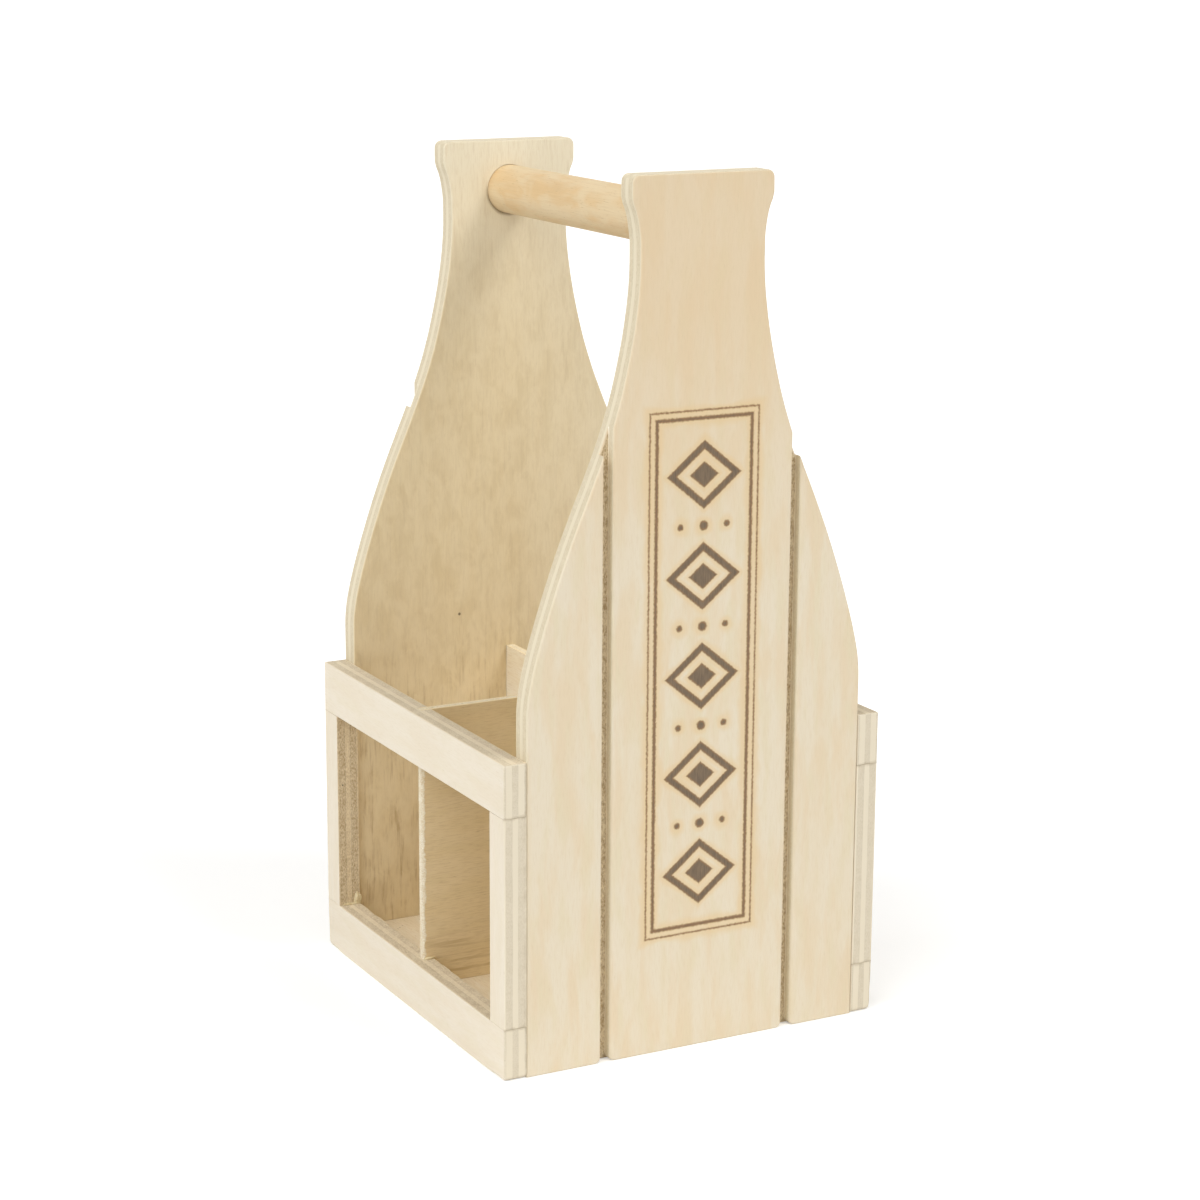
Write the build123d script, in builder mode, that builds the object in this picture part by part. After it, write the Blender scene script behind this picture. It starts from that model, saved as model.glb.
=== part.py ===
from build123d import *

import os

# Overall size of the caddy
caddy_width = 165.0
caddy_depth = 171.0
panel_height = 340.0
side_height = 125.0

# Sheets that the pieces are cut from
board_thickness = 9.6
divider_thickness = 4.0

# Bottle outline of the end panels, from the lip down
lip_half_width = 30.0
lip_height = 8.5
lip_corner_radius = 3.0
lip_taper_height = 17.5
neck_half_width = 26.4
neck_height = 6.0
shoulder_rise = 16.0

# Grooves routed in the outer face of each end panel, set a little to one side of the middle
groove_width = 3.8
groove_depth = 4.2
groove_spacing = 81.2
groove_shift = 1.4

# Handle rod and the blind sockets that hold it
handle_diameter = 20.0
handle_drop = 20.2
socket_depth = 4.8
socket_clearance = 0.1

# Side frames
rail_height = 20.8
stile_width = 12.5
foot_corner_radius = 2.0

# Housings for the divider ends, and the lap where the dividers cross
housing_depth = 4.8
housing_clearance = 0.1
lap_clearance = 0.1

# Radius that sanding leaves along the outer edges, and how far cuts run past a face
edge_ease = 0.6
cut_overrun = 1.0

# Sizes that follow from the ones above
inner_width = caddy_width - 2 * board_thickness
inner_depth = caddy_depth - 2 * board_thickness
panel_half_width = inner_width / 2
outer_face = caddy_depth / 2
inner_face = inner_depth / 2
shoulder_start = side_height + shoulder_rise
lip_bottom = panel_height - lip_height
neck_top = lip_bottom - lip_taper_height
neck_bottom = neck_top - neck_height
floor_top = board_thickness
divider_height = side_height - floor_top
divider_middle = floor_top + divider_height / 2
housing_width = divider_thickness + 2 * housing_clearance
lap_width = divider_thickness + 2 * lap_clearance
handle_axis = panel_height - handle_drop
handle_length = inner_depth + 2 * socket_depth
stile_height = side_height - 2 * rail_height

# Points that the shoulder curve passes, as shares of the way out from the neck to the panel's
# side and of the way up from the foot of the shoulder to the neck
shoulder_shares = (
    (0.961, 0.084),
    (0.824, 0.219),
    (0.613, 0.383),
    (0.398, 0.524),
    (0.232, 0.644),
    (0.099, 0.781),
    (0.028, 0.892),
)

# The same for the taper under the lip, out from the neck to the lip and up to its lower edge
taper_shares = (
    (0.17, 0.36),
    (0.62, 0.76),
)


def curve_points(shares, near, far, low, high):
    """Points at shares of the way between two half widths and between two heights."""
    return [(near + out * (far - near), low + up * (high - low)) for out, up in shares]


os.makedirs("parts", exist_ok=True)

# End panels: one grooved board with a bottle outline, used twice, the back one turned half round
shoulder_points = curve_points(
    shoulder_shares, neck_half_width, panel_half_width, shoulder_start, neck_bottom
)
taper_points = curve_points(taper_shares, neck_half_width, lip_half_width, neck_top, lip_bottom)
for panel_name, turn in (("front_panel", 0), ("back_panel", 180)):
    with BuildPart() as end_panel:
        with BuildSketch(Plane.XZ.offset(outer_face)):
            with BuildLine():
                Polyline((0, 0), (panel_half_width, 0), (panel_half_width, shoulder_start))
                Spline(
                    (panel_half_width, shoulder_start),
                    *shoulder_points,
                    (neck_half_width, neck_bottom),
                    tangents=((0, 1), (0, 1)),
                )
                Line((neck_half_width, neck_bottom), (neck_half_width, neck_top))
                Spline(
                    (neck_half_width, neck_top),
                    *taper_points,
                    (lip_half_width, lip_bottom),
                    tangents=((0, 1), (0, 1)),
                )
                FilletPolyline(
                    (lip_half_width, lip_bottom),
                    (lip_half_width, panel_height),
                    (0, panel_height),
                    radius=lip_corner_radius,
                )
                mirror(about=Plane.YZ)
            make_face()
        extrude(amount=-board_thickness)
        fillet(end_panel.faces().filter_by(Axis.Y).edges(), radius=edge_ease)

        # Two grooves from the foot up, which run out at the shoulder
        with BuildSketch(Plane.XZ.offset(outer_face)):
            with Locations((groove_shift, panel_height / 2)):
                with GridLocations(groove_spacing, 0, 2, 1):
                    Rectangle(groove_width, panel_height + cut_overrun)
        extrude(amount=-groove_depth, mode=Mode.SUBTRACT)

        # In the inner face, the socket for the handle and the housing for the lengthwise divider
        with BuildSketch(Plane.XZ.offset(inner_face)):
            with Locations((0, handle_axis)):
                Circle(handle_diameter / 2 + socket_clearance)
        extrude(amount=socket_depth, mode=Mode.SUBTRACT)
        with BuildSketch(Plane.XZ.offset(inner_face)):
            with Locations((0, divider_middle)):
                Rectangle(housing_width, divider_height)
        extrude(amount=housing_depth, mode=Mode.SUBTRACT)
    end_panel.part = end_panel.part.rotate(Axis.Z, turn)
    end_panel.part.label = panel_name
    export_step(end_panel.part, f"parts/{panel_name}.step")

# Handle: a round rod between the end panels, its ends glued into the sockets
with BuildPart() as handle_dowel:
    with BuildSketch(Plane.XZ.offset(handle_length / 2)):
        with Locations((0, handle_axis)):
            Circle(handle_diameter / 2)
    extrude(amount=-handle_length)
handle_dowel.part.label = "handle_dowel"
export_step(handle_dowel.part, "parts/handle_dowel.step")

# Side frames: two full-length rails with two stiles between them, made on the left and mirrored
for side_name, on_right in (("left", False), ("right", True)):
    with BuildPart() as top_rail:
        with BuildSketch(Plane.YZ.offset(-caddy_width / 2)):
            with Locations((0, side_height - rail_height / 2)):
                Rectangle(caddy_depth, rail_height)
        extrude(amount=board_thickness)
        upper_edges = top_rail.faces().sort_by(Axis.Z)[-1].edges()
        outer_corners = top_rail.edges().filter_by(Axis.Z).group_by(Axis.X)[0]
        fillet(upper_edges + outer_corners, radius=edge_ease)
        with BuildSketch(Plane.YZ.offset(-panel_half_width)):
            with Locations((0, side_height - rail_height / 2)):
                Rectangle(housing_width, rail_height + cut_overrun)
        extrude(amount=-housing_depth, mode=Mode.SUBTRACT)
    if on_right:
        top_rail.part = top_rail.part.mirror(Plane.YZ)
    top_rail.part.label = f"{side_name}_top_rail"
    export_step(top_rail.part, f"parts/{side_name}_top_rail.step")

    # The bottom rail's lower corners are rounded, and its housing starts level with the floor
    with BuildPart() as bottom_rail:
        with BuildSketch(Plane.YZ.offset(-caddy_width / 2)):
            with Locations((0, rail_height / 2)):
                Rectangle(caddy_depth, rail_height)
        extrude(amount=board_thickness)
        foot_corners = bottom_rail.edges().filter_by(Axis.X).group_by(Axis.Z)[0]
        fillet(foot_corners, radius=foot_corner_radius)
        outer_edges = bottom_rail.faces().sort_by(Axis.X)[0].edges()
        fillet(outer_edges.sort_by(Axis.Z)[:-1], radius=edge_ease)
        with BuildSketch(Plane.YZ.offset(-panel_half_width)):
            with Locations((0, floor_top)):
                Rectangle(
                    housing_width,
                    rail_height - floor_top + cut_overrun,
                    align=(Align.CENTER, Align.MIN),
                )
        extrude(amount=-housing_depth, mode=Mode.SUBTRACT)
    if on_right:
        bottom_rail.part = bottom_rail.part.mirror(Plane.YZ)
    bottom_rail.part.label = f"{side_name}_bottom_rail"
    export_step(bottom_rail.part, f"parts/{side_name}_bottom_rail.step")

    for end_name, at_back in (("front", False), ("back", True)):
        with BuildPart() as stile:
            with BuildSketch(Plane.YZ.offset(-caddy_width / 2)):
                with Locations((stile_width / 2 - outer_face, side_height / 2)):
                    Rectangle(stile_width, stile_height)
            extrude(amount=board_thickness)
            outer_corner = stile.edges().filter_by(Axis.Z).group_by(Axis.X)[0].sort_by(Axis.Y)[0]
            fillet(outer_corner, radius=edge_ease)
        if at_back:
            stile.part = stile.part.mirror(Plane.XZ)
        if on_right:
            stile.part = stile.part.mirror(Plane.YZ)
        stile.part.label = f"{side_name}_{end_name}_stile"
        export_step(stile.part, f"parts/{side_name}_{end_name}_stile.step")

# Dividers: thin sheets halved over each other, the crosswise one slotted from above and the
# lengthwise one from below, their ends let into the side frames and the end panels
with BuildPart() as cross_divider:
    with BuildSketch(Plane.XZ.offset(divider_thickness / 2)):
        with Locations((0, divider_middle)):
            Rectangle(inner_width + 2 * housing_depth, divider_height)
            Rectangle(
                lap_width,
                divider_height / 2 + cut_overrun,
                align=(Align.CENTER, Align.MIN),
                mode=Mode.SUBTRACT,
            )
    extrude(amount=-divider_thickness)
cross_divider.part.label = "cross_divider"
export_step(cross_divider.part, "parts/cross_divider.step")

with BuildPart() as long_divider:
    with BuildSketch(Plane.YZ.offset(-divider_thickness / 2)):
        with Locations((0, divider_middle)):
            Rectangle(inner_depth + 2 * housing_depth, divider_height)
            Rectangle(
                lap_width,
                divider_height / 2 + cut_overrun,
                align=(Align.CENTER, Align.MAX),
                mode=Mode.SUBTRACT,
            )
    extrude(amount=divider_thickness)
long_divider.part.label = "long_divider"
export_step(long_divider.part, "parts/long_divider.step")

# Floor: a board of the same sheet, flush underneath with the frames and panels around it
with BuildPart() as floor_board:
    with BuildSketch(Plane.XY):
        Rectangle(inner_width, inner_depth)
    extrude(amount=floor_top)
floor_board.part.label = "floor_board"
export_step(floor_board.part, "parts/floor_board.step")
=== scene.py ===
import math

import bmesh
import bpy
import numpy as np
from mathutils import Matrix, Vector, noise


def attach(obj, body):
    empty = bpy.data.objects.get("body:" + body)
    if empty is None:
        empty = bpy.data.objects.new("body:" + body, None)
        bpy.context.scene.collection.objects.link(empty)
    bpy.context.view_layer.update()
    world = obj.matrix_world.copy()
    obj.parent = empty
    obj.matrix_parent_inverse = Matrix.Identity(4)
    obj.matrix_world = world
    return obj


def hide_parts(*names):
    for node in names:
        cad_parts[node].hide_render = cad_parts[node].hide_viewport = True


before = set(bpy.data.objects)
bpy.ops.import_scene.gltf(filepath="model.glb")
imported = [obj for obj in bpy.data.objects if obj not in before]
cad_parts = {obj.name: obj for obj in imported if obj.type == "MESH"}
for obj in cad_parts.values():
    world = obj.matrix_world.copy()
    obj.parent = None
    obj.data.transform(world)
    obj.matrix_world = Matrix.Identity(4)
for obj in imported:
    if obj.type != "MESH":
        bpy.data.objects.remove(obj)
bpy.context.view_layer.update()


# End panels
# Two bottle outlines sawn from 9.6 mm five-ply poplar board and sanded by hand. Two grooves are
# routed down the outer face of each, so that it reads as three upright planks. The back panel is
# the same board turned half round. All sizes here are in millimetres.
caddy_width, caddy_depth, panel_height, side_height = 165.0, 171.0, 340.0, 125.0
board = 9.6
panel_half = caddy_width / 2 - board
outer_face = caddy_depth / 2
lip_half, lip_bottom, lip_corner = 30.0, 331.5, 3.0
neck_half, neck_bottom, neck_top = 26.4, 308.0, 314.0
shoulder_start = 141.0
groove_walls = (-41.1, -37.3, 40.1, 43.9)
groove_depth = 4.2
plank_corner = 2.3
widest_ease = 2.0
outer_ease, inner_ease, crisp_ease, joint_ease = 0.8, 0.7, 0.35, 0.1
groove_eases = (0.9, 1.7, 0.9, 1.7)
socket_radius, socket_depth, handle_height = 10.1, 4.8, 319.8
housing_width, housing_depth, cut_past = 4.2, 4.8, 2
floor_top = board

# How far apart points lie on the outline's parts, along a plank and across a groove, and how many
# steps go round a corner
shoulder_step, taper_step, lip_step, crown_step = 2.6, 2.4, 2.2, 3.2
plank_step, groove_step, corner_steps = 6, 2, 6

# The angle between two faces, in radians, from which on an edge is eased, and is shaded sharp, and
# how far along one axis the normal of a flat face points at least
eased_from, shaded_sharp_from, flat_from = 0.5, 0.62, 0.995

# Points of the shoulder and of the taper under the lip, as shares of the way out from the neck
# and of the way up, between the two heights
shoulder_shares = ((1, 0), (0.961, 0.084), (0.824, 0.219), (0.613, 0.383), (0.398, 0.524),
                   (0.232, 0.644), (0.099, 0.781), (0.028, 0.892), (0, 1))
taper_shares = ((0, 0), (0.17, 0.36), (0.62, 0.76), (1, 1))


def fair_curve(shares, near, far, low, high):
    """The smooth curve through shares of the way out and up, upright at both its ends."""
    points = np.array([(near + out * (far - near), low + up * (high - low)) for out, up in shares])
    gaps = np.linalg.norm(np.diff(points, axis=0), axis=1)
    count = len(points)
    matrix = np.zeros((count, count))
    right = np.zeros((count, 2))
    matrix[0, 0] = matrix[-1, -1] = 1
    right[0] = right[-1] = (0, 1)
    for i in range(1, count - 1):
        before, after = gaps[i - 1], gaps[i]
        matrix[i, i - 1:i + 2] = after, 2 * (before + after), before
        right[i] = 3 * (before * (points[i + 1] - points[i]) / after
                        + after * (points[i] - points[i - 1]) / before)
    slopes = np.linalg.solve(matrix, right)
    curve = []
    for i, gap in enumerate(gaps):
        for t in np.linspace(0, 1, 24, endpoint=False):
            curve.append(
                (2 * t**3 - 3 * t**2 + 1) * points[i]
                + (t**3 - 2 * t**2 + t) * gap * slopes[i]
                + (3 * t**2 - 2 * t**3) * points[i + 1]
                + (t**3 - t**2) * gap * slopes[i + 1]
            )
    return [tuple(p) for p in curve] + [tuple(points[-1])]


def spaced(path, step):
    """The same path with its points about one step apart, its own ends kept."""
    path = np.array(path, float)
    along = np.concatenate(([0], np.cumsum(np.linalg.norm(np.diff(path, axis=0), axis=1))))
    count = max(1, round(along[-1] / step))
    at = np.linspace(0, along[-1], count + 1)
    across, up = (np.interp(at, along, path[:, i]) for i in range(2))
    return [(float(u), float(v)) for u, v in zip(across, up)]


def corner(centre, radius, start, end):
    """Points round a rounded corner, between two angles in degrees."""
    points = []
    for i in range(corner_steps + 1):
        angle = math.radians(start + (end - start) * i / corner_steps)
        points.append((centre[0] + radius * math.cos(angle), centre[1] + radius * math.sin(angle)))
    return points


def panel_side(walls):
    """One side of the outline, from the foot to the middle of the lip, in runs that end where a
    groove wall runs out at the shoulder."""
    shoulder = fair_curve(shoulder_shares, neck_half, panel_half, shoulder_start, neck_bottom)
    runs, rest = [], [(panel_half, 0.0), (panel_half, shoulder_start)] + shoulder[1:]
    for wall in walls:
        for i, (p, q) in enumerate(zip(rest, rest[1:])):
            if p[0] > wall >= q[0]:
                height = p[1] + (q[1] - p[1]) * (p[0] - wall) / (p[0] - q[0])
                runs.append(spaced(rest[:i + 1] + [(wall, height)], shoulder_step))
                rest = [(wall, height)] + rest[i + 1:]
                break
    taper = fair_curve(taper_shares, neck_half, lip_half, neck_top, lip_bottom)
    lip_side = [(lip_half, lip_bottom), (lip_half, panel_height - lip_corner)]
    lip_round = corner((lip_half - lip_corner, panel_height - lip_corner), lip_corner, 0, 90)
    crown = [(lip_half - lip_corner, panel_height), (0.0, panel_height)]
    last = spaced(rest, shoulder_step) + spaced([(neck_half, neck_bottom), *taper], taper_step)[1:]
    last += spaced(lip_side, lip_step)[1:] + lip_round[1:] + spaced(crown, crown_step)[1:]
    runs.append(last)
    return runs


def end_panel_mesh():
    """The panel as one closed mesh, u across, v up and w into the board from its outer face."""
    bm = bmesh.new()
    easing = bm.edges.layers.float.new("bevel_weight_edge")
    known = {}

    def vert(p, w):
        key = (round(p[0], 5), round(p[1], 5), round(w, 5))
        if key not in known:
            known[key] = bm.verts.new(key)
        return known[key]

    right = panel_side((groove_walls[3], groove_walls[2]))
    left = [[(-u, v) for u, v in run] for run in panel_side((-groove_walls[0], -groove_walls[1]))]
    r = plank_corner
    feet = [(-panel_half, 0.0), (groove_walls[0] - r, 0.0), (groove_walls[1] + r, 0.0),
            (groove_walls[2] - r, 0.0), (groove_walls[3] + r, 0.0), (panel_half, 0.0)]
    crossings = [left[0][-1], left[1][-1], right[1][-1], right[0][-1]]
    steps = []
    for i, (wall, crossing) in enumerate(zip(groove_walls, crossings)):
        if i % 2 == 0:
            bend = corner((wall - r, r), r, -90, 0)
        else:
            bend = corner((wall + r, r), r, 270, 180)
        steps.append(bend + spaced([(wall, r), crossing], plank_step)[1:])
    groove_feet = []
    for i in (0, 2):
        between = spaced([(groove_walls[i], 0.0), (groove_walls[i + 1], 0.0)], groove_step)[1:-1]
        groove_feet.append([feet[i + 1], *between, feet[i + 2]])
    crown = right[2] + left[2][::-1][1:]
    # Each strip of the outer face: its depth, then its foot, right side, top and left side
    strips = (
        (0.0, spaced(feet[0:2], plank_step), steps[0], left[0][::-1], None),
        (groove_depth, groove_feet[0], steps[1], left[1][::-1], steps[0]),
        (0.0, spaced(feet[2:4], plank_step), steps[2], crown, steps[1]),
        (groove_depth, groove_feet[1], steps[3], right[1], steps[2]),
        (0.0, spaced(feet[4:6], plank_step), None, right[0], steps[3]),
    )
    back_loop = []
    for depth, foot, rise, top, fall in strips:
        loop = foot + (rise[1:] if rise else []) + top[1:]
        if fall:
            loop += fall[::-1][1:]
        loop = loop[:-1]
        bm.faces.new([vert(p, depth) for p in loop])
        for run in (foot, top):
            for p, q in zip(run, run[1:]):
                wall = [vert(p, depth)]
                if depth == 0 and p in (*feet[1:5], *crossings):
                    wall.append(vert(p, groove_depth))
                wall += [vert(p, board), vert(q, board)]
                if depth == 0 and q in (*feet[1:5], *crossings):
                    wall.append(vert(q, groove_depth))
                wall.append(vert(q, depth))
                bm.faces.new(wall)
        back_loop += foot[:-1]
    for step in steps:
        for p, q in zip(step, step[1:]):
            bm.faces.new([vert(p, 0.0), vert(q, 0.0), vert(q, groove_depth), vert(p, groove_depth)])
    round_back = right[0] + right[1][1:] + crown[1:] + left[1][::-1][1:] + left[0][::-1][1:]
    bm.faces.new([vert(p, board) for p in back_loop + round_back[:-1]][::-1])
    bmesh.ops.recalc_face_normals(bm, faces=bm.faces)
    # A groove's edges are crisp at the foot and grow to their full ease round the plank's corner
    on_step = {}
    for step, ease in zip(steps, groove_eases):
        for i, p in enumerate(step):
            share = min(1, i / corner_steps)
            on_step[round(p[0], 5), round(p[1], 5)] = crisp_ease + (ease - crisp_ease) * share
    for edge in bm.edges:
        a, b = (v.co for v in edge.verts)
        level = abs(a.z - b.z) < 1e-6
        if level and edge.is_manifold and edge.is_convex and edge.calc_face_angle() > eased_from:
            radius = outer_ease if a.z < board / 2 else inner_ease
            eases = [on_step.get((round(p.x, 5), round(p.y, 5))) for p in (a, b)]
            if None not in eases:
                radius = sum(eases) / 2
            if a.y == b.y == 0:
                radius = crisp_ease
            if abs(a.x) == abs(b.x) == panel_half and max(a.y, b.y) < side_height + 1:
                radius = joint_ease if a.z < board / 2 else crisp_ease
            edge[easing] = radius / widest_ease
    return bm


def prism(outline, thickness, ease):
    """A board sawn square from its outline. ease gives each sharp edge's radius in millimetres."""
    bm = bmesh.new()
    easing = bm.edges.layers.float.new("bevel_weight_edge")
    near = [bm.verts.new((u, v, 0.0)) for u, v in outline]
    far = [bm.verts.new((u, v, thickness)) for u, v in outline]
    bm.faces.new(near)
    bm.faces.new(far[::-1])
    for i in range(len(outline)):
        j = (i + 1) % len(outline)
        bm.faces.new((near[i], near[j], far[j], far[i]))
    bmesh.ops.recalc_face_normals(bm, faces=bm.faces)
    for edge in bm.edges:
        if edge.calc_face_angle() > eased_from and edge.is_convex:
            edge[easing] = ease((edge.verts[0].co + edge.verts[1].co) / 2) / widest_ease
    return bm


def housing(low, high):
    """A box to cut a divider's housing with, between two heights up a board's inner face."""
    ends = ((-housing_width / 2, housing_width / 2), (low, high),
            (board - housing_depth, board + cut_past))
    bm = bmesh.new()
    bmesh.ops.create_cube(bm, size=1)
    for v in bm.verts:
        v.co = [ends[i][0] if v.co[i] < 0 else ends[i][1] for i in range(3)]
    return bm


def drill(centre, radius, low, high):
    """A round bit to bore a socket with."""
    bm = bmesh.new()
    bmesh.ops.create_cone(bm, cap_ends=True, segments=72, radius1=radius, radius2=radius,
                          depth=high - low)
    bmesh.ops.translate(bm, vec=(centre[0], centre[1], (low + high) / 2), verts=bm.verts)
    return bm


def placed(x, y, z):
    """What turns u, v and w in millimetres into metres in the caddy's frame, by rows for x, y and z."""
    return Matrix((x, y, z, (0, 0, 0, 1000))) * 0.001


def in_scene(name, data):
    """A mesh, lamp or camera as an object in the scene."""
    made = bpy.data.objects.new(name, data)
    bpy.context.scene.collection.objects.link(made)
    return made


def held(name, bm):
    """The mesh that was worked on, as an object in the scene."""
    mesh = bpy.data.meshes.new(name)
    bm.to_mesh(mesh)
    bm.free()
    return in_scene(name, mesh)


def make_board(name, bm, place, node, material, grain="u", cuts=(), shift=(0.0, 0.0), wear=0.1,
               raw=lambda middle, normal: 0.0, torn=lambda bm: None):
    """Eases and cuts a board, notes its grain, puts it in its place and lets it stand for its node.
    raw says how far a face is left as the saw left it, from 0, well sanded, to 1, and below 0 how
    much painted light a groove wall gets, as a paler colour. torn pulls the sawn edges about."""
    low, high = ([pick(v.co[i] for v in bm.verts) for i in range(3)] for pick in (min, max))
    piece = held(name, bm)
    ease = piece.modifiers.new("ease", "BEVEL")
    ease.limit_method = "WEIGHT"
    ease.width = widest_ease
    ease.segments = 3
    ease.use_clamp_overlap = False
    tools = [held(name + "_cut", cut) for cut in cuts]
    for tool in tools:
        cutting = piece.modifiers.new("cut", "BOOLEAN")
        cutting.operation = "DIFFERENCE"
        cutting.solver = "EXACT"
        cutting.object = tool
    graph = bpy.context.evaluated_depsgraph_get()
    mesh = bpy.data.meshes.new_from_object(piece.evaluated_get(graph))
    piece.modifiers.clear()
    piece.data = mesh
    for tool in tools:
        bpy.data.objects.remove(tool)

    bm = bmesh.new()
    bm.from_mesh(mesh)
    torn(bm)
    bm.normal_update()
    where = bm.verts.layers.float_vector.new("board")
    cut = bm.faces.layers.float_vector.new("cut")
    rawness = bm.faces.layers.float.new("raw")
    standing = bm.verts.layers.float_vector.new("caddy")
    for face in bm.faces:
        n = face.normal
        face[cut] = (abs(n.x), abs(n.y), abs(n.z)) if grain == "u" else (abs(n.y), abs(n.x), abs(n.z))
        face[rawness] = raw(face.calc_center_median(), n)
        face.smooth = True
    for v in bm.verts:
        u, across, w = v.co
        if grain == "v":
            u, across = across, u
        v[where] = (u + shift[0], across + shift[1], w)
    # Sanding by hand rubs the edges, not the faces, and not every few millimetres alike
    sanded = {}
    for v in bm.verts:
        if max(abs(c) for c in v.normal) < flat_from:
            spot = Vector((v.co.x / 7, v.co.y / 7, v.co.z / 5)) + Vector((*shift, 0))
            sanded[v] = v.co - v.normal * wear * max(0.0, 0.5 + 0.5 * noise.noise(spot))
    for v, co in sanded.items():
        v.co = co
    for v in bm.verts:
        v.co = [min(max(v.co[i], low[i]), high[i]) for i in range(3)]
    for edge in bm.edges:
        edge.smooth = not edge.is_manifold or edge.calc_face_angle() < shaded_sharp_from
    bm.transform(place)
    for v in bm.verts:
        v[standing] = v.co * 1000
    if place.to_3x3().determinant() < 0:
        bmesh.ops.reverse_faces(bm, faces=bm.faces)
    bm.to_mesh(mesh)
    bm.free()
    flat = piece.modifiers.new("flat_faces", "WEIGHTED_NORMAL")
    flat.keep_sharp = True
    flat.weight = 60
    mesh.materials.clear()
    mesh.materials.append(material)
    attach(piece, "root")
    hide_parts(node)


def linear(code):
    """An sRGB hex colour as the linear colour that a node takes."""
    parts = [int(code[i:i + 2], 16) / 255 for i in (1, 3, 5)]
    return [c / 12.92 if c <= 0.04045 else ((c + 0.055) / 1.055) ** 2.4 for c in parts] + [1.0]


def add(tree, kind, sockets=(), **settings):
    """Adds one node with its settings, and fills its sockets with values or other nodes' outputs.
    sockets is a list from the first one on, or gives each by its number or name."""
    made = tree.nodes.new("ShaderNode" + kind)
    for name, value in settings.items():
        setattr(made, name, value)
    if not isinstance(sockets, dict):
        sockets = dict(enumerate(sockets))
    for key, value in sockets.items():
        if isinstance(value, bpy.types.NodeSocket):
            tree.links.new(value, made.inputs[key])
        else:
            made.inputs[key].default_value = value
    return made.outputs


# Settings that many nodes share: a range with soft ends, and a mix of two colours
smooth = {"interpolation_type": "SMOOTHSTEP"}
rgba = {"data_type": "RGBA"}


def blank(name):
    """A new material, with its node tree and its shader."""
    material = bpy.data.materials.new(name)
    material.use_nodes = True
    tree = material.node_tree
    return material, tree, tree.nodes["Principled BSDF"]


def surface(tree, shader, colour, rough, ior, relief, strength):
    """Gives a shader its colour, roughness and IOR, and a relief whose height is in metres."""
    bump = add(tree, "Bump", {"Strength": strength, "Distance": 1.0, "Height": relief})[0]
    for socket, value in (("Base Color", colour), ("Roughness", rough), ("Normal", bump)):
        tree.links.new(value, shader.inputs[socket])
    shader.inputs["IOR"].default_value = ior


# How far along and across the back panel lies from the front one in the wood's pattern
back_shift = (900.0, 300.0)


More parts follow.
